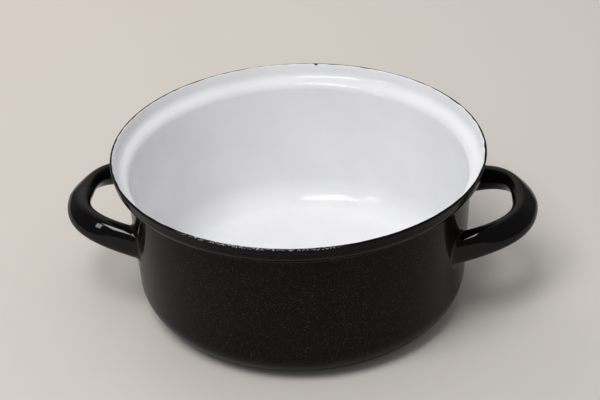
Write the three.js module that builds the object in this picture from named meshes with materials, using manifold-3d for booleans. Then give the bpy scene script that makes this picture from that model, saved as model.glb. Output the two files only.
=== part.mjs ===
// Low enamelled cooking pot: a drawn steel vessel with a stepped rim, enamelled inside and out,
// and two hollow loop handles welded to its wall. Millimetres, +Z up, standing on Z = 0, handles along X.
import * as THREE from 'three';
import { mergeVertices } from 'three/addons/utils/BufferGeometryUtils.js';
import Module from 'manifold-3d';

const wasm = await Module();
wasm.setup();

// Layers: steel sheet with a skin of enamel on each side
const STEEL_THICKNESS = 0.8;
const ENAMEL_THICKNESS = 0.3;
const BOND_GAP = 0.05; // between layers fused together over their whole face
const SEAT_GAP = 0.3; // between pieces that only meet at an edge or an end

// Vessel: overall sizes over the enamel, the others on the middle of the sheet
const POT_HEIGHT = 90;
const RIM_RADIUS = 100;
const COLLAR_FLARE = 0.85; // from the collar's foot out to the rim's edge
const COLLAR_HEIGHT = 6.75;
const COLLAR_BEND = 5.75;
const STEP_WIDTH = 6.6; // from the top of the wall out to the collar's foot
const STEP_RISE = 3.4;
const STEP_BEND = 4.2;
const WALL_FLARE = 2.4; // from the heel out to the top of the wall
const HEEL_BEND = 17.6;
const FOOT_RING = 12; // width of the flat ring under the base, between heel and dish
const DISH_RISE = 0.8;
const EDGING_OUTSIDE = 2.4; // how far the black edging runs down the outside of the collar
const EDGING_TURN = 2 / 3; // share of the rim's rounded edge that it covers, from the outside
const GROUND_COAT_TURN = 0.2; // share of the heel's bend that the ground coat covers

// Loop handles: sizes of the steel tube
const LEG_SPACING = 66.5; // between the two legs' middles at the wall
const GRIP_STANDOFF = 30.2; // from the wall to the middle of the grip
const FOOT_HEIGHT = 47.9;
const GRIP_HEIGHT = 56.3;
const LEG_STRAIGHT = 0.69; // share of the reach over which the legs stay parallel
const GRIP_STRAIGHT = 0.63; // share of half the spacing over which the grip stays straight
const FOOT_TALL = 16.4;
const FOOT_THICK = 12.6;
const GRIP_WIDE = 14;
const GRIP_THICK = 8.3;
const GRIP_LEAN = THREE.MathUtils.degToRad(62); // the grip's top leans towards the pot
const SECTION_BLEND = 2; // how late the foot's section gives way to the grip's
const TUBE_WALL = 1.2;
const WELD_LEG = 2.4;

// Fineness of the facets
const TURN_STEPS = 40;
const BEND_STEPS = 5;
const RIM_BEND_STEPS = 2;
const WELD_STEPS = 3;
const DISH_STEPS = 2;
const EDGE_STEPS = 4;
const LOOP_STEPS = 8; // in each half of a loop
const SECTION_STEPS = 12;

const steelFace = STEEL_THICKNESS / 2;
const enamelBack = steelFace + BOND_GAP;
const enamelFace = enamelBack + ENAMEL_THICKNESS;
const tubeSkin = BOND_GAP + ENAMEL_THICKNESS;

// Points of a bend of the given radius round a corner between two neighbours
function bend(before, corner, after, radius, steps) {
  const back = before.clone().sub(corner).normalize();
  const ahead = after.clone().sub(corner).normalize();
  const half = Math.acos(back.dot(ahead)) / 2;
  const middle = back.clone().add(ahead).normalize().multiplyScalar(radius / Math.sin(half)).add(corner);
  const first = corner.clone().addScaledVector(back, radius / Math.tan(half)).sub(middle);
  const side = Math.sign(back.cross(ahead));
  const turn = side * (Math.PI - 2 * half);
  const points = [];
  for (let i = 0; i <= steps; i += 1) {
    points.push(first.clone().rotateAround(new THREE.Vector2(), -turn * i / steps).add(middle));
  }
  return points;
}

// Middle line of the steel sheet, from the base's centre out and up to the rim's edge
const rimEnd = new THREE.Vector2(RIM_RADIUS - enamelFace, POT_HEIGHT - enamelFace);
const collar = rimEnd.clone().sub(new THREE.Vector2(COLLAR_FLARE, COLLAR_HEIGHT));
const step = collar.clone().sub(new THREE.Vector2(STEP_WIDTH, STEP_RISE));
const heel = new THREE.Vector2(step.x - WALL_FLARE, enamelFace);
const heelLine = bend(new THREE.Vector2(0, enamelFace), heel, step, HEEL_BEND, BEND_STEPS);
const dishRadius = heelLine[0].x - FOOT_RING;
const dishLine = [];
for (let i = 0; i <= DISH_STEPS; i += 1) {
  const share = i / DISH_STEPS;
  dishLine.push(new THREE.Vector2(dishRadius * share, enamelFace + DISH_RISE * (1 - share * share)));
}
const seamStep = Math.round(GROUND_COAT_TURN * BEND_STEPS);
const seamGap = SEAT_GAP / heelLine[seamStep].distanceTo(heelLine[seamStep + 1]);
heelLine.splice(seamStep + 1, 0, heelLine[seamStep].clone().lerp(heelLine[seamStep + 1], seamGap));
const sheetLine = [
  ...dishLine,
  ...heelLine,
  ...bend(heel, step, collar, STEP_BEND, RIM_BEND_STEPS),
  ...bend(step, collar, rimEnd, COLLAR_BEND, RIM_BEND_STEPS),
];
const wallStart = dishLine.length + seamStep + 1; // first station above the ground coat
const collarUp = rimEnd.clone().sub(collar).normalize();

// Outward direction square to the line from one point to another
function outward(from, to) {
  const along = to.clone().sub(from).normalize();
  return new THREE.Vector2(along.y, -along.x);
}

const sheetNormals = sheetLine.map((point, i) => {
  if (i === 0) return new THREE.Vector2(0, -1);
  const before = outward(sheetLine[i - 1], point);
  const after = outward(point, sheetLine[i + 1] ?? rimEnd);
  return before.add(after).normalize();
});
const collarOut = outward(collar, rimEnd);

// The sheet's line moved outward, from one station up to another
function offsetLine(distance, first = 0, last = sheetLine.length) {
  return sheetLine.slice(first, last).map((point, i) => (
    point.clone().addScaledVector(sheetNormals[first + i], distance)));
}

// A point on the collar, a way below the rim's edge and outward from the middle of the sheet
function onCollar(below, distance) {
  return rimEnd.clone().addScaledVector(collarUp, -below).addScaledVector(collarOut, distance);
}

// A point on the rim's rounded edge, from share 0 on the outside to 1 on the inside
function onEdge(share, radius) {
  const angle = Math.PI * share;
  return onCollar(-radius * Math.sin(angle), radius * Math.cos(angle));
}

// The rounded edge from the outside as far as a share of it
function roundEdge(radius, share = 1) {
  const points = [];
  for (let i = 0; i <= EDGE_STEPS; i += 1) {
    points.push(onEdge(share * i / EDGE_STEPS, radius));
  }
  return points;
}

// A profile of radius and height turned about the pot's axis
function turned(profile) {
  return new THREE.LatheGeometry(profile, TURN_STEPS).rotateX(Math.PI / 2);
}

// A profile that closes on itself away from the axis
function turnedRing(profile) {
  return turned([...profile, profile[0].clone()]);
}

// Everything inside the vessel's outer face, moved outward by a distance
function vesselEnvelope(distance) {
  const line = [...offsetLine(distance), onCollar(0, distance)];
  return turned([...line, new THREE.Vector2(0, line.at(-1).y)]);
}

// Radius of the wall's outer steel face at a height
const wallSlope = (step.x - heel.x) / (step.y - heel.y);
function wallRadius(height) {
  return heel.x + wallSlope * (height - heel.y) + steelFace;
}

// Places round a loop's middle line, from the rear foot by way of the grip to the front foot
const halfSpacing = LEG_SPACING / 2;
const legReach = Math.sqrt(wallRadius(FOOT_HEIGHT) ** 2 - halfSpacing ** 2);
const gripReach = wallRadius(GRIP_HEIGHT) + GRIP_STANDOFF;
const legEnd = THREE.MathUtils.lerp(legReach, gripReach, LEG_STRAIGHT);
const halfLoop = new THREE.CubicBezierCurve3(
  new THREE.Vector3(legReach, halfSpacing, FOOT_HEIGHT),
  new THREE.Vector3(legEnd, halfSpacing, GRIP_HEIGHT),
  new THREE.Vector3(gripReach, halfSpacing * GRIP_STRAIGHT, GRIP_HEIGHT),
  new THREE.Vector3(gripReach, 0, GRIP_HEIGHT),
);
const loopPlaces = [];
for (let i = -LOOP_STEPS; i <= LOOP_STEPS; i += 1) {
  const share = 1 - Math.abs(i) / LOOP_STEPS;
  const rear = i <= 0 ? 1 : -1;
  const middle = halfLoop.getPointAt(share);
  const along = halfLoop.getTangentAt(share);
  loopPlaces.push({
    middle: middle.setY(middle.y * rear),
    across: new THREE.Vector3(-along.y, along.x * rear, 0).normalize(),
    grip: 1 - (1 - share) ** SECTION_BLEND,
    lean: GRIP_LEAN * share,
  });
}

// The tube's oval outline at a place on the loop, grown by a distance
function section(place, grow) {
  const tall = THREE.MathUtils.lerp(FOOT_TALL, GRIP_WIDE, place.grip) / 2 + grow;
  const thick = THREE.MathUtils.lerp(FOOT_THICK, GRIP_THICK, place.grip) / 2 + grow;
  const points = [];
  for (let i = 0; i < SECTION_STEPS; i += 1) {
    const angle = 2 * Math.PI * i / SECTION_STEPS;
    const oval = new THREE.Vector2(thick * Math.cos(angle), tall * Math.sin(angle));
    oval.rotateAround(new THREE.Vector2(), place.lean);
    points.push(place.middle.clone().addScaledVector(place.across, oval.x).setZ(place.middle.z + oval.y));
  }
  return points;
}

// The two feet, each with the next place along its leg
const rearFoot = loopPlaces.slice(0, 2);
const frontFoot = loopPlaces.slice(-2).reverse();

// A foot's outline carried along its leg to a level above the wall's steel face
function footRing([foot, next], level, grow) {
  const ahead = section(next, grow);
  return section(foot, grow).map((point, i) => {
    const radius = wallRadius(point.z) + level;
    const away = ahead[i].sub(point);
    const a = away.x ** 2 + away.y ** 2;
    const b = point.x * away.x + point.y * away.y;
    const c = point.x ** 2 + point.y ** 2 - radius ** 2;
    return point.addScaledVector(away, (Math.sqrt(b * b - a * c) - b) / a);
  });
}

// A closed solid through a row of rings with equal counts of points
function loft(rings) {
  const count = rings[0].length;
  const points = rings.flat();
  const index = [];
  for (let corner = 0; corner < points.length - count; corner += 1) {
    const next = corner % count === count - 1 ? corner + 1 - count : corner + 1;
    index.push(corner, next, next + count, corner, next + count, corner + count);
  }
  for (let corner = 1; corner + 1 < count; corner += 1) {
    const last = points.length - count;
    index.push(0, corner + 1, corner, last, last + corner, last + corner + 1);
  }
  return new THREE.BufferGeometry().setFromPoints(points).setIndex(index);
}

// The whole loop as a solid bar, grown by a distance, with its ends sunk into the vessel
function loopBar(grow) {
  return loft([
    footRing(rearFoot, -FOOT_THICK, grow),
    ...loopPlaces.map((place) => section(place, grow)),
    footRing(frontFoot, -FOOT_THICK, grow),
  ]);
}

// The hollow-faced fillet round one foot, solid right through, grown by a distance
function footFillet(foot, grow) {
  const rings = [footRing(foot, -WELD_LEG, WELD_LEG + tubeSkin + grow)];
  for (let i = 0; i <= WELD_STEPS; i += 1) {
    const angle = Math.PI / 2 * i / WELD_STEPS;
    const level = WELD_LEG * (1 - Math.cos(angle));
    rings.push(footRing(foot, level, WELD_LEG * (1 - Math.sin(angle)) + tubeSkin + grow));
  }
  rings.push(footRing(foot, 2 * WELD_LEG, tubeSkin + grow));
  return loft(foot === rearFoot ? rings : rings.reverse());
}

// A geometry as a solid that can be joined and cut, without the faces that the axis closes up
function solid(geometry) {
  geometry.deleteAttribute('normal');
  geometry.deleteAttribute('uv');
  const merged = mergeVertices(geometry, 1e-4);
  const kept = [];
  for (let i = 0; i < merged.index.count; i += 3) {
    const [a, b, c] = [0, 1, 2].map((corner) => merged.index.getX(i + corner));
    if (a !== b && b !== c && c !== a) kept.push(a, b, c);
  }
  return new wasm.Manifold(new wasm.Mesh({
    numProp: 3,
    vertProperties: merged.attributes.position.array,
    triVerts: new Uint32Array(kept),
  }));
}

// A joined or cut solid as a geometry
function faces(body) {
  const mesh = body.getMesh();
  const geometry = new THREE.BufferGeometry();
  geometry.setAttribute('position', new THREE.BufferAttribute(mesh.vertProperties, 3));
  geometry.setIndex(new THREE.BufferAttribute(mesh.triVerts, 1));
  geometry.computeVertexNormals();
  return geometry;
}

// Vessel
const steelOutside = offsetLine(steelFace);
const steelInside = offsetLine(-steelFace);
const shell = turned([...steelOutside, ...roundEdge(steelFace), ...steelInside.reverse()]);

// Enamel on the vessel
const liningTurn = EDGING_TURN + SEAT_GAP / (Math.PI * enamelFace);
const lining = turned([
  ...offsetLine(-enamelBack),
  onEdge(1, enamelBack),
  onEdge(liningTurn, enamelBack),
  onEdge(liningTurn, enamelFace),
  onEdge(1, enamelFace),
  ...offsetLine(-enamelFace).reverse(),
]);
const baseCoat = turned([
  ...offsetLine(enamelFace, 0, wallStart),
  ...offsetLine(enamelBack, 0, wallStart).reverse(),
]);
const coatEnd = EDGING_OUTSIDE + SEAT_GAP;
const wholeCoat = turnedRing([
  ...offsetLine(enamelFace, wallStart),
  onCollar(coatEnd, enamelFace),
  onCollar(coatEnd, enamelBack),
  ...offsetLine(enamelBack, wallStart).reverse(),
]);
const edging = turnedRing([
  onCollar(EDGING_OUTSIDE, enamelFace),
  ...roundEdge(enamelFace, EDGING_TURN),
  ...roundEdge(enamelBack, EDGING_TURN).reverse(),
  onCollar(EDGING_OUTSIDE, enamelBack),
]);

// Handle: tube, enamel and the weld at each foot
const tubeSeat = solid(vesselEnvelope(steelFace + SEAT_GAP));
const weldTop = solid(vesselEnvelope(steelFace + WELD_LEG));
const coatSeat = solid(vesselEnvelope(steelFace + WELD_LEG + SEAT_GAP));
const tubeBore = solid(loopBar(-TUBE_WALL));
const coatBack = solid(loopBar(BOND_GAP));
const tube = faces(solid(loopBar(0)).subtract(tubeBore).subtract(tubeSeat));
const handleCoat = faces(solid(loopBar(tubeSkin)).subtract(coatBack).subtract(coatSeat));
const [rearWeld, frontWeld] = [rearFoot, frontFoot].map((foot) => (
  faces(solid(footFillet(foot, 0)).subtract(coatBack).subtract(tubeSeat).intersect(weldTop))));

// The coat on the wall, open round the feet of both handles
let openCoat = solid(wholeCoat);
for (const turn of [0, Math.PI]) {
  for (const foot of [rearFoot, frontFoot]) {
    openCoat = openCoat.subtract(solid(footFillet(foot, SEAT_GAP).rotateZ(turn)));
  }
}
const flecked = faces(openCoat);

const steel = new THREE.MeshStandardMaterial({ color: 0x7f8184, roughness: 0.5, metalness: 0.9 });
const white = new THREE.MeshStandardMaterial({ color: 0xf2f2f5, roughness: 0.12, metalness: 0 });
const fleckedBlack = new THREE.MeshStandardMaterial({ color: 0x1d1c1e, roughness: 0.3, metalness: 0 });
const plainBlack = new THREE.MeshStandardMaterial({ color: 0x0d0d0e, roughness: 0.1, metalness: 0 });

// One named piece of the pot
function piece(name, geometry, material) {
  const mesh = new THREE.Mesh(geometry, material);
  mesh.name = name;
  return mesh;
}

const pot = new THREE.Group();
pot.add(
  piece('vessel_shell', shell, steel),
  piece('white_lining', lining, white),
  piece('flecked_coat', flecked, fleckedBlack),
  piece('base_coat', baseCoat, plainBlack),
  piece('rim_edging', edging, plainBlack),
);
const rightHandle = new THREE.Group();
rightHandle.add(
  piece('right_handle_tube', tube, steel),
  piece('right_handle_coat', handleCoat, plainBlack),
  piece('right_rear_weld', rearWeld, plainBlack),
  piece('right_front_weld', frontWeld, plainBlack),
);
const leftHandle = new THREE.Group();
leftHandle.rotation.z = Math.PI;
leftHandle.add(
  piece('left_handle_tube', tube, steel),
  piece('left_handle_coat', handleCoat, plainBlack),
  piece('left_front_weld', rearWeld, plainBlack),
  piece('left_rear_weld', frontWeld, plainBlack),
);
pot.add(rightHandle, leftHandle);

export default pot;
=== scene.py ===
import logging
import math
from dataclasses import dataclass, field
from enum import Enum

import bmesh
import bpy
import numpy as np
from mathutils import Euler, Matrix, Vector


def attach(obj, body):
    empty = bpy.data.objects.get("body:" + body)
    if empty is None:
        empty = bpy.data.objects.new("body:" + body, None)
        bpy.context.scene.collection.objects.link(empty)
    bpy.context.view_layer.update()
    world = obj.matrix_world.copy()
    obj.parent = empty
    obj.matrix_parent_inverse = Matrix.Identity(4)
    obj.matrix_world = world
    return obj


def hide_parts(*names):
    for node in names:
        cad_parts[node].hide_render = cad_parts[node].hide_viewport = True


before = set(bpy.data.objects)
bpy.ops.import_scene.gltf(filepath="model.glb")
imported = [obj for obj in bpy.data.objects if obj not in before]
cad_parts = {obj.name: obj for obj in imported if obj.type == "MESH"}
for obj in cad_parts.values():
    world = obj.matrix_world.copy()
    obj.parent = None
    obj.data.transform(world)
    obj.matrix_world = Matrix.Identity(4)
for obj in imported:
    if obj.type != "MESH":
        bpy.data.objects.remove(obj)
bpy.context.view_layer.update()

LOG = logging.getLogger("pot")

Triple = tuple[float, float, float]
Colour = Triple
Band = tuple[float, float]
Faces = list[tuple[int, ...]]
Shape = tuple[np.ndarray, Faces]
Socket = bpy.types.NodeSocket

# Values that several finishes share
GLASS_IOR = 1.5
BLACK: Colour = (0.0, 0.0, 0.0)
WHOLE: Band = (0.0, 1.0)
CLOUD_BAND: Band = (0.35, 0.65)
HAZE_BAND: Band = (0.3, 0.7)
SOFT_OCTAVES = 1.0
CLOUD_OCTAVES = 3.0
FLECK_CORE = 0.6

# Places of the colour sockets on a Mix node, whose names are the same for all kinds of value
MIX_COLOURS = (6, 7)
MIX_RESULT = 2

# Mesh work: distances in metres, crease in degrees
MERGE_DISTANCE = 1e-7
SLIVER_LENGTH = 1e-8
SMOOTH_CREASE = 40.0


class Slot(Enum):
    """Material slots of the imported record."""

    STEEL = "steel_sheet"
    WHITE = "white_enamel"
    FLECKED = "flecked_enamel"
    BLACK = "black_enamel"


class Side(Enum):
    """The side that a loop handle stands on, with the sign of its X."""

    RIGHT = 1.0
    LEFT = -1.0


class Leg(Enum):
    """The two legs of a loop, with the sign of Y on the right-hand side."""

    REAR = 1.0
    FRONT = -1.0


class Shows(Enum):
    """Where a panel's light shows: in reflections, or on surfaces that scatter it."""

    IN_GLOSS = "gloss"
    ON_SURFACES = "surfaces"


class NodeDesk:
    """A node tree, with short calls for the nodes that the finishes and the room share."""

    def __init__(self, tree: bpy.types.NodeTree, place: str) -> None:
        """Takes over a tree, whose patterns read the named kind of coordinates."""
        self.tree = tree
        self.place = tree.nodes.new("ShaderNodeTexCoord").outputs[place]

    def join(self, source: Socket, target: Socket) -> None:
        """Links an output to an input."""
        self.tree.links.new(source, target)

    def feed(self, socket: Socket, value: object) -> None:
        """Links an output to an input, or sets the input to a plain value.

        Args:
            socket: the input.
            value: an output or a plain value.
        """
        if isinstance(value, Socket):
            self.join(value, socket)
        else:
            socket.default_value = value

    def vector(self, operation: str, other: Triple | None = None) -> bpy.types.Node:
        """One step of vector arithmetic on the coordinates.

        Args:
            operation: the Vector Math node's operation.
            other: the second operand, where the operation has one.

        Returns:
            The node.
        """
        node = self.tree.nodes.new("ShaderNodeVectorMath")
        node.operation = operation
        self.join(self.place, node.inputs[0])
        if other is not None:
            node.inputs[1].default_value = other
        return node

    def noise(self, pitch: float, octaves: float = 2.0, strength: float = 0.5,
              stretch: Triple | None = None) -> Socket:
        """A cloudy value from 0 to 1.

        Args:
            pitch: size of the largest cloud in metres.
            octaves: octaves of finer clouds.
            strength: strength of the finer clouds.
            stretch: factors on the coordinates; a small one draws the clouds out along its axis.

        Returns:
            The value.
        """
        place = self.vector("MULTIPLY", stretch).outputs["Vector"] if stretch else self.place
        node = self.tree.nodes.new("ShaderNodeTexNoise")
        sockets = {"Vector": place, "Scale": 1 / pitch, "Detail": octaves, "Roughness": strength}
        for name, value in sockets.items():
            self.feed(node.inputs[name], value)
        return node.outputs["Fac"]

    def span(self, value: Socket, band: tuple[object, object], first: object = 0.0,
             last: object = 1.0, smooth: bool = True) -> Socket:
        """Carries a value from one range to another, held at both ends.

        Args:
            value: the value to carry.
            band: where the first range starts and ends.
            first: result at the start.
            last: result at the end.
            smooth: whether the result eases in and out; otherwise it runs straight.

        Returns:
            The carried value.
        """
        node = self.tree.nodes.new("ShaderNodeMapRange")
        node.interpolation_type = "SMOOTHSTEP" if smooth else "LINEAR"
        for socket, part in zip(node.inputs, (value, *band, first, last)):
            self.feed(socket, part)
        return node.outputs["Result"]

    def maths(self, operation: str, first: object, second: object) -> Socket:
        """One step of arithmetic.

        Args:
            operation: the Math node's operation.
            first: the first operand.
            second: the second operand.

        Returns:
            The result.
        """
        node = self.tree.nodes.new("ShaderNodeMath")
        node.operation = operation
        for socket, part in zip(node.inputs, (first, second)):
            self.feed(socket, part)
        return node.outputs[0]

    def blend(self, share: Socket, first: object, last: object) -> Socket:
        """Blends two colours.

        Args:
            share: 0 for the first colour, 1 for the last.
            first: a colour or an output.
            last: a colour or an output.

        Returns:
            The blended colour.
        """
        node = self.tree.nodes.new("ShaderNodeMix")
        node.data_type = "RGBA"
        self.join(share, node.inputs["Factor"])
        for number, part in zip(MIX_COLOURS, (first, last)):
            self.feed(node.inputs[number], part if isinstance(part, Socket) else (*part, 1.0))
        return node.outputs[MIX_RESULT]

    def relief(self, height: Socket, depth: float, under: Socket | None = None) -> Socket:
        """Relief of the surface.

        Args:
            height: height from 0 to 1.
            depth: what a height of 1 stands for, in metres.
            under: relief that this one lies on.

        Returns:
            The bent normal.
        """
        node = self.tree.nodes.new("ShaderNodeBump")
        node.inputs["Strength"].default_value = 1.0
        node.inputs["Distance"].default_value = depth
        self.join(height, node.inputs["Height"])
        if under is not None:
            self.join(under, node.inputs["Normal"])
        return node.outputs["Normal"]

    def flecks(self, pitch: float, sizes: Band) -> tuple[Socket, Socket]:
        """Scattered round flecks of different sizes.

        Args:
            pitch: mean distance between flecks in metres.
            sizes: least and greatest radius as a share of the pitch; a least one below zero leaves
                some flecks out.

        Returns:
            The flecks' mask, and a random value for each fleck.
        """
        node = self.tree.nodes.new("ShaderNodeTexVoronoi")
        self.join(self.place, node.inputs["Vector"])
        node.inputs["Scale"].default_value = 1 / pitch
        split = self.tree.nodes.new("ShaderNodeSeparateColor")
        self.join(node.outputs["Color"], split.inputs["Color"])
        radius = self.span(split.outputs["Red"], WHOLE, *sizes)
        core = self.maths("MULTIPLY", radius, FLECK_CORE)
        mask = self.span(node.outputs["Distance"], (core, radius), 1.0, 0.0)
        shown = self.maths("GREATER_THAN", radius, 0.0)
        return self.maths("MULTIPLY", mask, shown), split.outputs["Green"]

    def ray(self, kind: str) -> Socket:
        """1 on rays of a kind that the Light Path node names, and 0 on the rest."""
        return self.tree.nodes.new("ShaderNodeLightPath").outputs[kind]


class Bench(NodeDesk):
    """A new material, with a Principled shader that the finishes set."""

    def __init__(self, name: str) -> None:
        """Starts the material, whose patterns read object coordinates.

        Args:
            name: its name.
        """
        self.material = bpy.data.materials.new(name)
        self.material.use_nodes = True
        super().__init__(self.material.node_tree, "Object")

    def finish(self, **sockets: object) -> bpy.types.Material:
        """Sets the shader's sockets.

        Args:
            sockets: the sockets' names with underscores for spaces, and what feeds each.

        Returns:
            The finished material.
        """
        shader = self.tree.nodes["Principled BSDF"]
        for name, value in sockets.items():
            self.feed(shader.inputs[name.replace("_", " ")], value)
        return self.material


@dataclass(frozen=True)
class DrawnSteel:
    """Bare deep-drawn steel with fine drawing lines, under the enamel."""

    dark: Colour = (0.36, 0.365, 0.375)
    light: Colour = (0.55, 0.555, 0.56)
    light_band: Band = (0.1, 0.45)
    cloud_pitch: float = 0.02
    line_pitch: float = 0.0008
    line_strength: float = 0.6
    line_stretch: Triple = (1.0, 1.0, 0.05)
    line_depth: float = 0.000006
    roughness: Band = (0.3, 0.48)

    def material(self) -> bpy.types.Material:
        """Builds the finish.

        Returns:
            The material.
        """
        bench = Bench("drawn_steel")
        lines = bench.noise(self.line_pitch, CLOUD_OCTAVES, self.line_strength, self.line_stretch)
        tone = bench.maths("MULTIPLY", lines, bench.noise(self.cloud_pitch))
        return bench.finish(
            Base_Color=bench.blend(bench.span(tone, self.light_band), self.dark, self.light),
            Metallic=1.0,
            Roughness=bench.span(lines, HAZE_BAND, *self.roughness),
            Normal=bench.relief(lines, self.line_depth),
        )


@dataclass(frozen=True)
class WhiteEnamel:
    """Gloss white enamel: cloudy, with the slight waves of fired glass and rare pinholes."""

    thin: Colour = (0.812, 0.812, 0.828)
    full: Colour = (0.838, 0.838, 0.85)
    pinhole: Colour = (0.42, 0.42, 0.46)
    cloud_pitch: float = 0.03
    hole_pitch: float = 0.009
    hole_sizes: Band = (-0.35, 0.03)
    wave_pitch: float = 0.014
    wave_depth: float = 0.000012
    peel_pitch: float = 0.0024
    peel_depth: float = 0.0000012
    haze_pitch: float = 0.006
    roughness: Band = (0.07, 0.13)
    shine: float = 0.22

    def material(self) -> bpy.types.Material:
        """Builds the finish.

        Returns:
            The material.
        """
        bench = Bench("white_enamel")
        clouds = bench.span(bench.noise(self.cloud_pitch, CLOUD_OCTAVES), CLOUD_BAND)
        holes, _ = bench.flecks(self.hole_pitch, self.hole_sizes)
        coat = bench.blend(clouds, self.thin, self.full)
        waves = bench.relief(bench.noise(self.wave_pitch, SOFT_OCTAVES), self.wave_depth)
        peel = bench.noise(self.peel_pitch, SOFT_OCTAVES)
        return bench.finish(
            Base_Color=bench.blend(holes, coat, self.pinhole),
            Roughness=bench.span(bench.noise(self.haze_pitch), HAZE_BAND, *self.roughness),
            IOR=GLASS_IOR,
            Specular_IOR_Level=self.shine,
            Normal=bench.relief(peel, self.peel_depth, waves),
        )


@dataclass(frozen=True)
class FleckedEnamel:
    """Gloss black enamel, sprinkled all over with fine pale and rusty flecks before firing."""

    ground: Colour = (0.0034, 0.0031, 0.003)
    cloud: Colour = (0.0046, 0.0042, 0.004)
    pale: Colour = (0.037, 0.037, 0.031)
    rusty: Colour = (0.05, 0.0235, 0.0195)
    rusty_band: Band = (0.55, 0.75)
    cloud_pitch: float = 0.012
    fleck_pitch: float = 0.0009
    fleck_sizes: Band = (-0.15, 0.36)
    fleck_depth: float = 0.000002
    dust_pitch: float = 0.0005
    dust_sizes: Band = (-0.1, 0.36)
    dust_strength: float = 0.7
    grain_pitch: float = 0.0012
    grain_depth: float = 0.000003
    roughness: Band = (0.08, 0.12)
    shine: float = 0.145

    def material(self) -> bpy.types.Material:
        """Builds the finish.

        Returns:
            The material.
        """
        bench = Bench("flecked_enamel")
        clouds = bench.span(bench.noise(self.cloud_pitch, CLOUD_OCTAVES), CLOUD_BAND)
        coarse, tint = bench.flecks(self.fleck_pitch, self.fleck_sizes)
        dust, _ = bench.flecks(self.dust_pitch, self.dust_sizes)
        specks = bench.maths("MAXIMUM", coarse, bench.maths("MULTIPLY", dust, self.dust_strength))
        coat = bench.blend(clouds, self.ground, self.cloud)
        fleck = bench.blend(bench.span(tint, self.rusty_band), self.pale, self.rusty)
        grain = bench.relief(bench.noise(self.grain_pitch), self.grain_depth)
        return bench.finish(
            Base_Color=bench.blend(specks, coat, fleck),
            Roughness=bench.span(clouds, WHOLE, *self.roughness),
            IOR=GLASS_IOR,
            Specular_IOR_Level=self.shine,
            Normal=bench.relief(specks, self.fleck_depth, grain),
        )


@dataclass(frozen=True)
class BlackEnamel:
    """Plain black enamel with a wet gloss, as it runs on the loops and over their welds."""

    ground: Colour = (0.0024, 0.0023, 0.0024)
    cloud: Colour = (0.0034, 0.0031, 0.0031)
    mote: Colour = (0.03, 0.03, 0.031)
    cloud_pitch: float = 0.01
    mote_pitch: float = 0.004
    mote_sizes: Band = (-0.2, 0.03)
    mote_depth: float = 0.00001
    wave_pitch: float = 0.009
    wave_octaves: float = 1.5
    wave_depth: float = 0.000003
    roughness: Band = (0.03, 0.06)
    shine: float = 0.36

    def material(self) -> bpy.types.Material:
        """Builds the finish.

        Returns:
            The material.
        """
        bench = Bench("black_enamel")
        clouds = bench.span(bench.noise(self.cloud_pitch, CLOUD_OCTAVES), CLOUD_BAND)
        motes, _ = bench.flecks(self.mote_pitch, self.mote_sizes)
        coat = bench.blend(clouds, self.ground, self.cloud)
        waves = bench.relief(bench.noise(self.wave_pitch, self.wave_octaves), self.wave_depth)
        return bench.finish(
            Base_Color=bench.blend(motes, coat, self.mote),
            Roughness=bench.span(clouds, WHOLE, *self.roughness),
            IOR=GLASS_IOR,
            Specular_IOR_Level=self.shine,
            Normal=bench.relief(motes, self.mote_depth, waves),
        )


@dataclass(frozen=True)
class EdgeEnamel:
    """Black enamel drawn round the rim, with white specks of painted highlight along the front of
    its crest, standing in for the lamp's glints on it.
    """

    ground: Colour = (0.0036, 0.0035, 0.0037)
    # Colour of the painted highlight specks (painted glints)
    painted_glint: Colour = (0.5, 0.5, 0.5)
    crest: Band = (0.0892, 0.0895)
    front: Band = (-0.05, -0.07)
    glint_from: Band = (-0.056, -0.036)
    glint_to: Band = (0.034, 0.02)
    glint_pitch: float = 0.00065
    glint_strength: float = 0.6
    glint_band: Band = (0.555, 0.6)
    pebble_pitch: float = 0.0009
    pebble_depth: float = 0.00003
    roughness: Band = (0.12, 0.2)
    shine: float = 0.18

    def material(self) -> bpy.types.Material:
        """Builds the finish.

        Returns:
            The material.
        """
        bench = Bench("edge_enamel")
        split = bench.tree.nodes.new("ShaderNodeSeparateXYZ")
        bench.join(bench.place, split.inputs[0])
        # Painted highlight: white specks in the base colour on the front of the crest, where the
        # lamp's reflection falls, stand in for its glints.
        specks = bench.noise(self.glint_pitch, strength=self.glint_strength)
        painted_glint = bench.span(specks, self.glint_band)
        limits = ("Z", self.crest), ("Y", self.front), ("X", self.glint_from), ("X", self.glint_to)
        for axis, band in limits:
            painted_glint = bench.maths("MULTIPLY", painted_glint, bench.span(split.outputs[axis], band))
        pebbles = bench.noise(self.pebble_pitch, SOFT_OCTAVES)
        return bench.finish(
            Base_Color=bench.blend(painted_glint, self.ground, self.painted_glint),
            Roughness=bench.span(painted_glint, WHOLE, *self.roughness),
            IOR=GLASS_IOR,
            Specular_IOR_Level=self.shine,
            Normal=bench.relief(pebbles, self.pebble_depth),
        )


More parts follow.
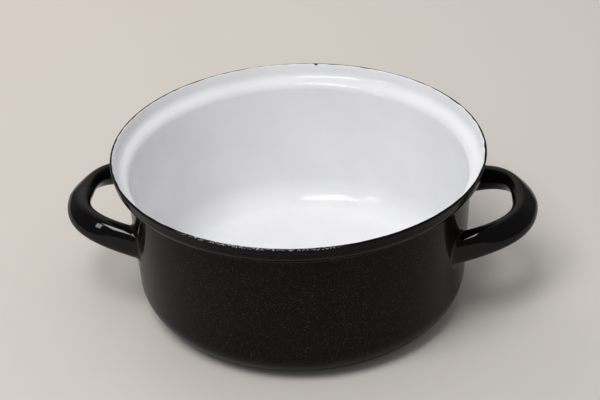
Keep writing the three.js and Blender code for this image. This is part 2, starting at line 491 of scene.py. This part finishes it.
@dataclass(frozen=True)
class GroundEnamel:
    """Plain black ground coat under the base, scuffed where the pot slides on its ring."""

    ground: Colour = (0.007, 0.007, 0.0075)
    scuffed: Colour = (0.07, 0.068, 0.066)
    ring_starts: Band = (0.053, 0.06)
    ring_ends: Band = (0.072, 0.078)
    scratch_pitch: float = 0.0016
    scratch_octaves: float = 4.0
    scratch_strength: float = 0.7
    scratch_stretch: Triple = (0.25, 1.0, 1.0)
    scuff_band: Band = (0.5, 0.68)
    scuff_most: float = 0.7
    worn_band: Band = (0.0, 0.6)
    ripple_pitch: float = 0.006
    ripple_depth: float = 0.000015
    roughness: Band = (0.14, 0.5)

    def material(self) -> bpy.types.Material:
        """Builds the finish.

        Returns:
            The material.
        """
        bench = Bench("ground_enamel")
        radius = bench.vector("LENGTH").outputs["Value"]
        inner = bench.span(radius, self.ring_starts)
        outer = bench.span(radius, self.ring_ends, 1.0, 0.0)
        scratches = bench.noise(self.scratch_pitch, self.scratch_octaves, self.scratch_strength,
                                self.scratch_stretch)
        scuff = bench.span(scratches, self.scuff_band, last=self.scuff_most)
        wear = bench.maths("MULTIPLY", bench.maths("MULTIPLY", inner, outer), scuff)
        return bench.finish(
            Base_Color=bench.blend(wear, self.ground, self.scuffed),
            Roughness=bench.span(wear, self.worn_band, *self.roughness),
            IOR=GLASS_IOR,
            Normal=bench.relief(bench.noise(self.ripple_pitch), self.ripple_depth),
        )


@dataclass(frozen=True)
class Tabletop:
    """Plain pale matt board that the pot stands on, with painted light: its colour runs lighter
    towards the back left, standing in for light falling off across it.

    Reflections show it dimmer.
    """

    light: Colour = (0.758, 0.695, 0.636)
    dark: Colour = (0.585, 0.558, 0.527)
    # Way and reach of the painted light gradient across the board
    painted_light_way: Triple = (-0.759, 0.648, 0.0)
    painted_light_reach: Band = (-0.45, 0.65)
    gloss_dim: float = 0.35
    haze_pitch: float = 0.25
    tooth_pitch: float = 0.0015
    tooth_depth: float = 0.00001
    roughness: Band = (0.75, 0.9)
    shine: float = 0.15

    def material(self) -> bpy.types.Material:
        """Builds the finish.

        Returns:
            The material.
        """
        bench = Bench("pale_board")
        haze = bench.noise(self.haze_pitch, CLOUD_OCTAVES)
        # Painted light: the colour runs from dark at the front right to light at the back left, for
        # light falling off across the board.
        way = bench.vector("DOT_PRODUCT", self.painted_light_way).outputs["Value"]
        painted_light_board = bench.blend(bench.span(way, self.painted_light_reach), self.dark, self.light)
        dim = bench.maths("MULTIPLY", bench.ray("Is Glossy Ray"), self.gloss_dim)
        return bench.finish(
            Base_Color=bench.blend(dim, painted_light_board, BLACK),
            Roughness=bench.span(haze, HAZE_BAND, *self.roughness),
            Specular_IOR_Level=self.shine,
            Normal=bench.relief(bench.noise(self.tooth_pitch), self.tooth_depth),
        )


def circle(steps: int) -> np.ndarray:
    """Even angles round a full turn."""
    return np.arange(steps) * 2 * math.pi / steps


def skin(rows: np.ndarray) -> Shape:
    """Lays faces over a grid of points that closes on itself both ways.

    Args:
        rows: points as an array of rows, columns and coordinates.

    Returns:
        The points and the faces.
    """
    count, width = rows.shape[:2]
    faces = []
    for i in range(count):
        here, there = i * width, (i + 1) % count * width
        for j in range(width):
            k = (j + 1) % width
            faces.append((here + j, here + k, there + k, there + j))
    return rows.reshape(-1, 3), faces


def turned(profile: np.ndarray, steps: int, ring: bool) -> Shape:
    """Turns a profile about the pot's axis.

    Args:
        profile: radius and height of each point, for all angles, or for each of them in turn.
        steps: places round the axis.
        ring: whether the profile closes on itself; otherwise both its ends lie on the axis.

    Returns:
        The points and the faces.
    """
    if profile.ndim == 2:
        profile = np.repeat(profile[None], steps, axis=0)
    angle = circle(steps)
    radius, height = profile[..., 0].T, profile[..., 1].T
    rows = np.stack([radius * np.cos(angle), radius * np.sin(angle), height], axis=-1)
    points, faces = skin(rows)
    return points, faces if ring else faces[:-steps]


class Workshop:
    """Makes Blender objects of points and faces, dresses them and ties them to the CAD frame."""

    def __init__(self) -> None:
        """Makes the finishes."""
        self.steel = DrawnSteel().material()
        self.white = WhiteEnamel().material()
        self.flecked = FleckedEnamel().material()
        self.black = BlackEnamel().material()
        self.edge = EdgeEnamel().material()
        self.ground = GroundEnamel().material()

    def solid(self, name: str, shape: Shape, finish: bpy.types.Material,
              crease: float = SMOOTH_CREASE) -> bpy.types.Object:
        """Makes a smooth-shaded object.

        Args:
            name: name of the object.
            shape: its points in metres, and its faces as point numbers.
            finish: its material.
            crease: edges sharper than this many degrees stay sharp.

        Returns:
            The object.
        """
        points, faces = shape
        mesh = bpy.data.meshes.new(name)
        mesh.from_pydata(points.tolist(), [], faces)
        work = bmesh.new()
        work.from_mesh(mesh)
        bmesh.ops.remove_doubles(work, verts=work.verts, dist=MERGE_DISTANCE)
        bmesh.ops.dissolve_degenerate(work, edges=work.edges, dist=SLIVER_LENGTH)
        bmesh.ops.recalc_face_normals(work, faces=work.faces)
        for face in work.faces:
            face.smooth = True
        work.to_mesh(mesh)
        work.free()
        mesh.set_sharp_from_angle(angle=math.radians(crease))
        mesh.materials.append(finish)
        made = bpy.data.objects.new(name, mesh)
        bpy.context.collection.objects.link(made)
        return made

    def piece(self, name: str, node: str, finish: bpy.types.Material, shape: Shape,
              crease: float = SMOOTH_CREASE) -> None:
        """Makes a piece of the pot in place of a CAD node.

        Args:
            name: name of the piece.
            node: the CAD node that it stands for.
            finish: its material.
            shape: its points and faces.
            crease: edges sharper than this many degrees stay sharp.
        """
        made = self.solid(name, shape, finish, crease)
        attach(made, "root")
        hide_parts(node)
        LOG.info("%s stands for %s, %d faces", name, node, len(made.data.polygons))


@dataclass(frozen=True)
class SheetLine:
    """Middle line of the vessel's steel sheet, from the base's centre to the rim's edge."""

    pot_height: float = 0.09
    rim_radius: float = 0.1
    collar_flare: float = 0.00085
    collar_height: float = 0.00675
    collar_bend: float = 0.00575
    step_width: float = 0.0066
    step_rise: float = 0.0034
    step_bend: float = 0.0042
    wall_flare: float = 0.0024
    heel_bend: float = 0.0176
    foot_ring: float = 0.012
    dish_rise: float = 0.0008
    dish_power: float = 1.5
    steel_face: float = 0.0004
    enamel_back: float = 0.00045
    enamel_face: float = 0.00075
    ground_turn: float = 0.2
    dish_steps: int = 14
    flat_steps: int = 4
    heel_steps: int = 30
    wall_steps: int = 13
    rim_steps: int = 12

    @property
    def rim_end(self) -> np.ndarray:
        """Middle of the sheet's upper edge."""
        return np.array([self.rim_radius, self.pot_height]) - self.enamel_face

    @property
    def collar(self) -> np.ndarray:
        """Bottom of the rim's collar."""
        return self.rim_end - [self.collar_flare, self.collar_height]

    @property
    def step(self) -> np.ndarray:
        """Top of the wall, under the rim's step."""
        return self.collar - [self.step_width, self.step_rise]

    @property
    def heel(self) -> np.ndarray:
        """Where base and wall would meet as a sharp corner."""
        return np.array([self.step[0] - self.wall_flare, self.enamel_face])

    @staticmethod
    def bend(before: np.ndarray, corner: np.ndarray, after: np.ndarray, radius: float,
             steps: int) -> np.ndarray:
        """Rounds a corner of the line.

        Args:
            before: a point on the way to the corner.
            corner: the sharp corner.
            after: a point on the way from it.
            radius: radius of the bend.
            steps: steps along the bend.

        Returns:
            The points of the bend.
        """
        back = (before - corner) / np.linalg.norm(before - corner)
        ahead = (after - corner) / np.linalg.norm(after - corner)
        half = math.acos(float(back @ ahead)) / 2
        inward = (back + ahead) / np.linalg.norm(back + ahead)
        middle = corner + inward * radius / math.sin(half)
        first = corner + back * radius / math.tan(half) - middle
        turn = math.copysign(math.pi - 2 * half, ahead[0] * back[1] - ahead[1] * back[0])
        angles = turn * np.arange(steps + 1) / steps
        cosines, sines = np.cos(angles), np.sin(angles)
        return middle + np.stack([
            first[0] * cosines - first[1] * sines,
            first[0] * sines + first[1] * cosines,
        ], axis=-1)

    @staticmethod
    def between(first: np.ndarray, last: np.ndarray, steps: int) -> np.ndarray:
        """Even points on a straight stretch, without its two ends."""
        return first + (last - first) * np.linspace(0, 1, steps + 1)[1:-1, None]

    def stations(self) -> tuple[np.ndarray, int]:
        """Samples the line finely.

        Returns:
            The points, and the number of the one where the ground coat ends.
        """
        turn = self.bend(self.heel * [0, 1], self.heel, self.step, self.heel_bend, self.heel_steps)
        edge = turn[0] - [self.foot_ring, 0]
        share = np.linspace(0.0, 1.0, self.dish_steps + 1)
        dish = np.stack([
            edge[0] * share,
            self.enamel_face + self.dish_rise * (1 - share ** 2) ** self.dish_power,
        ], axis=-1)
        flat = self.between(edge, turn[0], self.flat_steps)
        step = self.bend(self.heel, self.step, self.collar, self.step_bend, self.rim_steps)
        collar = self.bend(self.step, self.collar, self.rim_end, self.collar_bend, self.rim_steps)
        wall = self.between(turn[-1], step[0], self.wall_steps)
        seam = len(dish) + len(flat) + round(self.ground_turn * self.heel_steps)
        return np.concatenate([dish, flat, turn, wall, step, collar]), seam

    def offset(self, distance: float) -> np.ndarray:
        """Moves the line outward.

        Args:
            distance: how far; below zero is into the pot.

        Returns:
            The moved points.
        """
        points, _ = self.stations()
        legs = np.diff(np.concatenate([points, self.rim_end[None]]), axis=0)
        legs /= np.linalg.norm(legs, axis=1)[:, None]
        along = np.concatenate([[(1.0, 0.0)], legs[:-1] + legs[1:]])
        along /= np.linalg.norm(along, axis=1)[:, None]
        return points + distance * np.stack([along[:, 1], -along[:, 0]], axis=-1)

    def on_collar(self, below: np.ndarray | float, distance: np.ndarray | float) -> np.ndarray:
        """Finds places on the collar.

        Args:
            below: way down from the rim's edge along the sheet.
            distance: way outward from the middle of the sheet.

        Returns:
            The points.
        """
        rise = (self.rim_end - self.collar) / np.linalg.norm(self.rim_end - self.collar)
        out = np.array([rise[1], -rise[0]])
        below, distance = np.broadcast_arrays(below, distance)
        return self.rim_end - below[..., None] * rise + distance[..., None] * out

    def round_edge(self, radius: np.ndarray | float, share: np.ndarray) -> np.ndarray:
        """Finds places round the rim's edge, and down the collar on both sides of it.

        Args:
            radius: distance from the middle of the sheet.
            share: way round the edge's half circle, 0 on the outside and 1 on the inside; lower
                and higher values go down the collar, by the length of the half circle on the
                enamel's face for each whole.

        Returns:
            The points.
        """
        angle = math.pi * np.clip(share, 0, 1)
        down = np.maximum(-share, share - 1).clip(0) * math.pi * self.enamel_face
        return self.on_collar(down - radius * np.sin(angle), radius * np.cos(angle))

    def wall_radius(self, height: np.ndarray | float) -> np.ndarray | float:
        """Radius of the wall's outer steel face at a height above the floor."""
        run = self.step - self.heel
        return self.heel[0] + run[0] / run[1] * (height - self.heel[1]) + self.steel_face


@dataclass(frozen=True)
class Vessel:
    """The drawn steel vessel with its enamel: lining, flecked coat, ground coat and black edge."""

    line: SheetLine = field(default_factory=SheetLine)
    turns: int = 288
    steel_edge_steps: int = 6
    lap_steps: int = 5
    lining_lap: float = 0.52
    flecked_lap: float = 0.48
    edge_finer: int = 3
    edge_proud: float = 0.00005
    edge_outside: float = -1.02
    edge_inside: float = 0.66
    edge_sides: float = 0.09
    edge_rounding: float = 0.06
    edge_way: tuple[float, ...] = (
        0.0, 0.03, 0.06, 0.3, 0.55, *np.linspace(0.6, 0.94, 12).tolist(), 0.97, 1.0)
    edge_crease: float = 70.0
    waver_seed: int = 7
    waver_waves: tuple[int, int] = (5, 90)
    waver_size: float = 0.045
    drip_angle: float = math.radians(88.4)
    drip_width: float = math.radians(0.7)
    drip_length: float = 0.6

    def shell(self) -> Shape:
        """The steel sheet, with a rounded edge.

        Returns:
            Its points and faces.
        """
        line = self.line
        edge = np.linspace(0, 1, self.steel_edge_steps + 1)
        profile = [
            line.offset(line.steel_face),
            line.round_edge(line.steel_face, edge),
            line.offset(-line.steel_face)[::-1],
        ]
        return turned(np.concatenate(profile), self.turns, False)

    def lining(self) -> Shape:
        """The white enamel inside, which runs up under the black edge.

        Returns:
            Its points and faces.
        """
        line = self.line
        lap = np.linspace(1.0, self.lining_lap, self.lap_steps + 1)
        profile = [
            line.offset(-line.enamel_back),
            line.round_edge(line.enamel_back, lap),
            line.round_edge(line.enamel_face, lap[::-1]),
            line.offset(-line.enamel_face)[::-1],
        ]
        return turned(np.concatenate(profile), self.turns, False)

    def ground_coat(self) -> Shape:
        """The plain coat under the base.

        Returns:
            Its points and faces.
        """
        line = self.line
        end = line.stations()[1] + 1
        profile = [line.offset(line.enamel_face)[:end], line.offset(line.enamel_back)[:end][::-1]]
        return turned(np.concatenate(profile), self.turns, False)

    def flecked_coat(self) -> Shape:
        """The flecked coat on the wall, which runs up under the black edge.

        Returns:
            Its points and faces.
        """
        line = self.line
        start = line.stations()[1]
        lap = np.linspace(0.0, self.flecked_lap, self.lap_steps + 1)
        profile = [
            line.offset(line.enamel_face)[start:],
            line.round_edge(line.enamel_face, lap),
            line.round_edge(line.enamel_back, lap[::-1]),
            line.offset(line.enamel_back)[start:][::-1],
        ]
        return turned(np.concatenate(profile), self.turns, True)

    def edge_borders(self, angle: np.ndarray) -> tuple[np.ndarray, np.ndarray]:
        """Borders of the black edge: drawn by hand, they waver, and one drip ran inside.

        Args:
            angle: places round the rim.

        Returns:
            The outer and the inner border, as ways round the rim's edge.
        """
        draw = np.random.default_rng(self.waver_seed)
        waver = np.zeros((2, len(angle)))
        for wave in range(*self.waver_waves):
            phase = draw.uniform(0, 2 * math.pi, 2)[:, None]
            waver += draw.normal(0, 1, 2)[:, None] * np.sin(wave * angle + phase) / wave ** 0.5
        waver *= self.waver_size / waver.std(axis=1)[:, None]
        turn = np.angle(np.exp(1j * (angle - self.drip_angle)))
        drip = self.drip_length * np.exp(-(turn / self.drip_width) ** 2)
        sides = self.edge_sides * np.cos(angle) ** 2
        return self.edge_outside + waver[0], self.edge_inside + sides + waver[1] + drip

    def edging(self) -> Shape:
        """The black edge, with rounded borders.

        Returns:
            Its points and faces.
        """
        line = self.line
        steps = self.turns * self.edge_finer
        outside, inside = (border[:, None] for border in self.edge_borders(circle(steps)))
        way = np.array(self.edge_way)
        slope = np.clip(1 - np.minimum(way, 1 - way) / self.edge_rounding, 0, 1)
        share = outside + (inside - outside) * way
        face = line.enamel_face + self.edge_proud * (2 * np.sqrt(1 - slope ** 2) - 1)
        back = np.full_like(face, line.enamel_face - 2 * self.edge_proud)
        profile = [line.round_edge(face, share), line.round_edge(back, share)[:, ::-1]]
        return turned(np.concatenate(profile, axis=1), steps, True)

    def build(self, shop: Workshop) -> None:
        """Builds and dresses the vessel's pieces.

        Args:
            shop: the workshop that makes them.
        """
        shop.piece("drawn_shell", "vessel_shell", shop.steel, self.shell())
        shop.piece("white_inside", "white_lining", shop.white, self.lining())
        shop.piece("flecked_outside", "flecked_coat", shop.flecked,
                   self.flecked_coat())
        shop.piece("ground_underside", "base_coat", shop.ground, self.ground_coat())
        shop.piece("black_edge", "rim_edging", shop.edge, self.edging(),
                   self.edge_crease)


@dataclass(frozen=True)
class LoopHandle:
    """One loop handle: a bent oval tube, its enamel and the fillet welds at its feet."""

    side: Side
    line: SheetLine = field(default_factory=SheetLine)
    leg_spacing: float = 0.0665
    grip_standoff: float = 0.0302
    foot_height: float = 0.0479
    grip_height: float = 0.0563
    leg_straight: float = 0.69
    grip_straight: float = 0.63
    foot_tall: float = 0.0161
    foot_thick: float = 0.0122
    grip_wide: float = 0.0136
    grip_thick: float = 0.008
    grip_lean: float = math.radians(62)
    section_blend: float = 2.0
    section_power: float = 2.6
    tube_wall: float = 0.0012
    tube_end: float = 0.0003
    skin_back: float = 0.00005
    skin_face: float = 0.00035
    skin_end: float = 0.001
    weld_leg: float = 0.0024
    weld_seat: float = 0.00003
    weld_sunk: float = 0.0002
    weld_proud: float = 0.00002
    weld_steps: int = 10
    weld_crease: float = 60.0
    rows: int = 72
    columns: int = 56
    line_steps: int = 800
    search: Band = (-0.5, 0.6)
    search_rounds: int = 40

    def corners(self) -> np.ndarray:
        """Places the four control points of the rear half's middle line.

        Returns:
            The points, from the foot to the grip's middle.
        """
        half = self.leg_spacing / 2
        foot = math.sqrt(self.line.wall_radius(self.foot_height) ** 2 - half ** 2)
        painted_light_reach = self.line.wall_radius(self.grip_height) + self.grip_standoff
        return np.array([
            (foot, half, self.foot_height),
            (foot + (painted_light_reach - foot) * self.leg_straight, half, self.grip_height),
            (painted_light_reach, half * self.grip_straight, self.grip_height),
            (painted_light_reach, 0.0, self.grip_height),
        ])

    @staticmethod
    def on_curve(corners: np.ndarray, at: np.ndarray) -> tuple[np.ndarray, np.ndarray]:
        """Follows the curve of four control points.

        Args:
            corners: the control points.
            at: places on the curve, 0 to 1.

        Returns:
            The points and the directions.
        """
        points = ((1 - at) ** 3 * corners[0] + 3 * at * (1 - at) ** 2 * corners[1]
                  + 3 * at ** 2 * (1 - at) * corners[2] + at ** 3 * corners[3])
        legs = np.diff(corners, axis=0)
        along = (1 - at) ** 2 * legs[0] + 2 * at * (1 - at) * legs[1] + at ** 2 * legs[2]
        return points, along / np.linalg.norm(along, axis=-1)[..., None]

    def half_loop(self, share: np.ndarray) -> tuple[np.ndarray, np.ndarray]:
        """Follows the middle line of the rear half by its length.

        Args:
            share: way along the half, 0 to 1; below 0 goes straight on into the wall.

        Returns:
            The points and the directions.
        """
        corners = self.corners()
        fine = np.linspace(0, 1, self.line_steps + 1)
        steps = np.diff(self.on_curve(corners, fine[:, None])[0], axis=0)
        way = np.concatenate([[0], np.cumsum(np.linalg.norm(steps, axis=1))])
        at = np.interp(np.clip(share, 0, 1) * way[-1], way, fine)
        points, along = self.on_curve(corners, at[..., None])
        return points + np.minimum(share, 0)[..., None] * way[-1] * along, along

    def outline(self, share: np.ndarray, angle: np.ndarray, grow: float, leg: Leg) -> np.ndarray:
        """Points of the tube's oval outline.

        Args:
            share: way along the half loop, from the foot to the grip's middle.
            angle: place round the outline.
            grow: distance outward from the steel tube's face.
            leg: the half that the points lie on.

        Returns:
            The points.
        """
        middle, along = self.half_loop(share)
        grip = 1 - (1 - np.clip(share, 0, 1)) ** self.section_blend
        tall = (self.foot_tall + (self.grip_wide - self.foot_tall) * grip) / 2 + grow
        thick = (self.foot_thick + (self.grip_thick - self.foot_thick) * grip) / 2 + grow
        lean = self.grip_lean * np.clip(share, 0, 1)
        x, y = (half * np.sign(part) * np.abs(part) ** (2 / self.section_power)
                for half, part in ((thick, np.cos(angle)), (tall, np.sin(angle))))
        out, up = x * np.cos(lean) - y * np.sin(lean), x * np.sin(lean) + y * np.cos(lean)
        flat = np.hypot(along[..., 0], along[..., 1])
        return np.stack([
            middle[..., 0] - along[..., 1] / flat * out,
            leg.value * (middle[..., 1] + along[..., 0] / flat * out),
            middle[..., 2] + up,
        ], axis=-1)

    def meets_wall(self, angle: np.ndarray, grow: float, level: float, leg: Leg) -> np.ndarray:
        """Finds where each line along the tube comes to a level above the wall's steel.

        Args:
            angle: place of each line round the outline.
            grow: distance outward from the steel tube's face.
            level: height above the wall.
            leg: the half that the lines lie on.

        Returns:
            The way along the half loop for each line.
        """
        low, high = (np.full_like(angle, end) for end in self.search)
        for _ in range(self.search_rounds):
            share = (low + high) / 2
            points = self.outline(share, angle, grow, leg)
            wall = self.line.wall_radius(points[..., 2]) + level
            inside = np.hypot(points[..., 0], points[..., 1]) < wall
            low, high = np.where(inside, share, low), np.where(inside, high, share)
        return (low + high) / 2

    def bar(self, grow: float, level: float) -> np.ndarray:
        """Rows of points over the whole loop, from foot to foot.

        Args:
            grow: distance outward from the steel tube's face.
            level: height above the wall's steel at which the ends lie.

        Returns:
            The rows.
        """
        angle = circle(self.columns)
        way = np.linspace(0, 1, self.rows)[:, None]
        halves = []
        for leg in Leg:
            start = self.meets_wall(angle, grow, level, leg)
            halves.append(self.outline(start + (1 - start) * way, angle + 0 * way, grow, leg))
        return np.concatenate([halves[0], halves[1][-2::-1]])

    def tube(self) -> Shape:
        """The hollow steel tube."""
        face, bore = (self.bar(grow, self.tube_end) for grow in (0.0, -self.tube_wall))
        return skin(np.concatenate([face, bore[::-1]]))

    def coat(self) -> Shape:
        """The enamel on the tube, which runs down under the welds' skin."""
        face, back = (self.bar(grow, self.skin_end) for grow in (self.skin_face, self.skin_back))
        return skin(np.concatenate([face, back[::-1]]))

    def weld(self, leg: Leg) -> Shape:
        """Shapes the hollow-faced fillet round one foot, seated in the coat on the wall.

        Args:
            leg: the foot's leg.

        Returns:
            The points and the faces.
        """
        angle = circle(self.columns)
        seat = self.line.enamel_face - self.line.steel_face - self.weld_seat
        under = seat - self.weld_sunk
        rings = [(self.skin_back, under), (self.weld_leg + self.skin_face, under)]
        for step in range(self.weld_steps + 1):
            turn = math.pi / 2 * step / self.weld_steps
            grow = self.weld_leg * (1 - math.sin(turn)) + self.skin_face + self.weld_proud
            rings.append((grow, seat + (self.weld_leg - seat) * (1 - math.cos(turn))))
        rings.append((self.skin_back, self.weld_leg))
        return skin(np.stack([
            self.outline(self.meets_wall(angle, grow, level, leg), angle, grow, leg)
            for grow, level in rings
        ]))

    def placed(self, shape: Shape) -> Shape:
        """Turns a shape about the pot's axis from the right to the handle's own side."""
        points, faces = shape
        return points * [self.side.value, self.side.value, 1.0], faces

    def build(self, shop: Workshop) -> None:
        """Builds and dresses the handle's pieces.

        Args:
            shop: the workshop that makes them.
        """
        name = self.side.name.lower()
        shop.piece(f"{name}_loop_tube", f"{name}_handle_tube", shop.steel,
                   self.placed(self.tube()))
        shop.piece(f"{name}_loop_enamel", f"{name}_handle_coat", shop.black,
                   self.placed(self.coat()))
        for leg in Leg:
            end = Leg(leg.value * self.side.value).name.lower()
            shop.piece(f"{name}_{end}_fillet", f"{name}_{end}_weld", shop.black,
                       self.placed(self.weld(leg)), self.weld_crease)


@dataclass(frozen=True)
class Panel:
    """A soft panel, placed and tilted as seen from the camera's side; the tilt is in degrees."""

    name: str
    shows: Shows
    place: Triple
    tilt: Triple
    size: tuple[float, float]
    power: float

    def hang(self, facing: Matrix) -> None:
        """Hangs the panel as a lamp.

        Args:
            facing: turn from the camera's side to the pot's own frame.
        """
        lamp = bpy.data.lights.new(self.name, "AREA")
        lamp.shape = "RECTANGLE"
        lamp.size, lamp.size_y = self.size
        lamp.energy = self.power
        hung = bpy.data.objects.new(self.name, lamp)
        bpy.context.collection.objects.link(hung)
        tilt = Euler([math.radians(angle) for angle in self.tilt])
        hung.matrix_world = facing @ Matrix.LocRotScale(Vector(self.place), tilt, None)
        hung.visible_glossy = self.shows is Shows.IN_GLOSS
        hung.visible_diffuse = self.shows is Shows.ON_SURFACES


@dataclass(frozen=True)
class Studio:
    """The pale table, the soft panels, the room's even light and the camera."""

    bearing: float = math.radians(5.75)
    elevation: float = math.radians(31.75)
    distance: float = 0.7115
    roll: float = math.radians(-2.23)
    target: Triple = (0.0, 0.0, 0.0555)
    lens: float = 78.0
    sensor: float = 36.0
    table_rings: tuple[float, ...] = (0.0, 0.15, 0.4, 1.0, 2.0, 3.0, 4.0)
    table_top: float = -0.00002
    table_under: float = -0.02
    table_turns: int = 96
    panels: tuple[Panel, ...] = (
        Panel("main_shine", Shows.IN_GLOSS, (-0.48, -0.8, 1.77), (-12.2, -35.6, 7.8),
              (1.1, 0.82), 32.0),
        Panel("side_shine", Shows.IN_GLOSS, (-1.5, -0.9, 0.97), (61.0, 0.0, -59.0),
              (0.27, 0.9), 5.5),
        Panel("main_box", Shows.ON_SURFACES, (-0.48, -0.8, 1.77), (-12.2, -35.6, 7.8),
              (1.1, 0.82), 29.0),
        Panel("top_box", Shows.ON_SURFACES, (0.0, 0.0, 2.0), (0.0, 0.0, 0.0), (1.0, 1.0), 2.8),
        Panel("rear_box", Shows.ON_SURFACES, (-0.6, 1.5, 1.2), (53.4, 0.0, -158.2),
              (1.0, 1.0), 6.5),
    )
    room: Colour = (0.376, 0.376, 0.376)
    gloss_room: Colour = (0.085, 0.085, 0.085)
    gloss_far: Colour = (0.44, 0.42, 0.38)
    far_side: Triple = (-0.2, 0.7, 0.68)
    far_band: Band = (0.68, 1.0)
    backdrop: Colour = (0.60, 0.57, 0.53)

    def facing(self) -> Matrix:
        """Turn about the pot's axis from the camera's side to the pot's own frame."""
        return Matrix.Rotation(self.bearing, 4, "Z")

    def table(self, shop: Workshop) -> None:
        """Makes the table, a broad flat disc.

        Args:
            shop: the workshop that makes it.
        """
        radius = np.array(self.table_rings)
        top = np.stack([radius, np.full_like(radius, self.table_top)], axis=-1)
        under = np.stack([radius, np.full_like(radius, self.table_under)], axis=-1)
        shape = turned(np.concatenate([top, under[::-1]]), self.table_turns, False)
        floor = shop.solid("table", shape, Tabletop().material())

    def light_room(self) -> None:
        """Lights the room evenly; reflections show it dimmer, apart from a glow at its far side."""
        world = bpy.data.worlds.new("room")
        world.use_nodes = True
        desk = NodeDesk(world.node_tree, "Generated")
        way = desk.vector("DOT_PRODUCT", self.far_side).outputs["Value"]
        glow = desk.span(way, self.far_band, smooth=False)
        gloss = desk.blend(glow, self.gloss_room, self.gloss_far)
        seen = desk.blend(desk.ray("Is Glossy Ray"), self.room, gloss)
        seen = desk.blend(desk.ray("Is Camera Ray"), seen, self.backdrop)
        desk.join(seen, desk.tree.nodes["Background"].inputs["Color"])
        bpy.context.scene.world = world

    def camera(self) -> None:
        """Sets the camera at the photograph's viewing angle."""
        back = Vector((0.0, -math.cos(self.elevation), math.sin(self.elevation)))
        level = Vector((1.0, 0.0, 0.0))
        above = back.cross(level)
        right = math.cos(self.roll) * level + math.sin(self.roll) * above
        up = math.cos(self.roll) * above - math.sin(self.roll) * level
        stand = Matrix((right, up, back)).transposed().to_4x4()
        stand.translation = Vector(self.target) + self.distance * back
        data = bpy.data.cameras.new("view")
        data.lens = self.lens
        data.sensor_width = self.sensor
        made = bpy.data.objects.new("view", data)
        bpy.context.collection.objects.link(made)
        made.matrix_world = self.facing() @ stand
        bpy.context.scene.camera = made

    def build(self, shop: Workshop) -> None:
        """Sets up the table, the light and the camera.

        Args:
            shop: the workshop that makes the table.
        """
        self.table(shop)
        for panel in self.panels:
            panel.hang(self.facing())
        self.light_room()
        self.camera()
        bpy.context.scene.view_settings.view_transform = "Standard"


def main() -> None:
    """Builds the pot, piece by piece, and the studio round it."""
    logging.basicConfig(level=logging.INFO, format="%(name)s: %(message)s")
    shop = Workshop()
    Vessel().build(shop)
    for side in Side:
        LoopHandle(side).build(shop)
    Studio().build(shop)


if __name__ == "__main__":
    main()
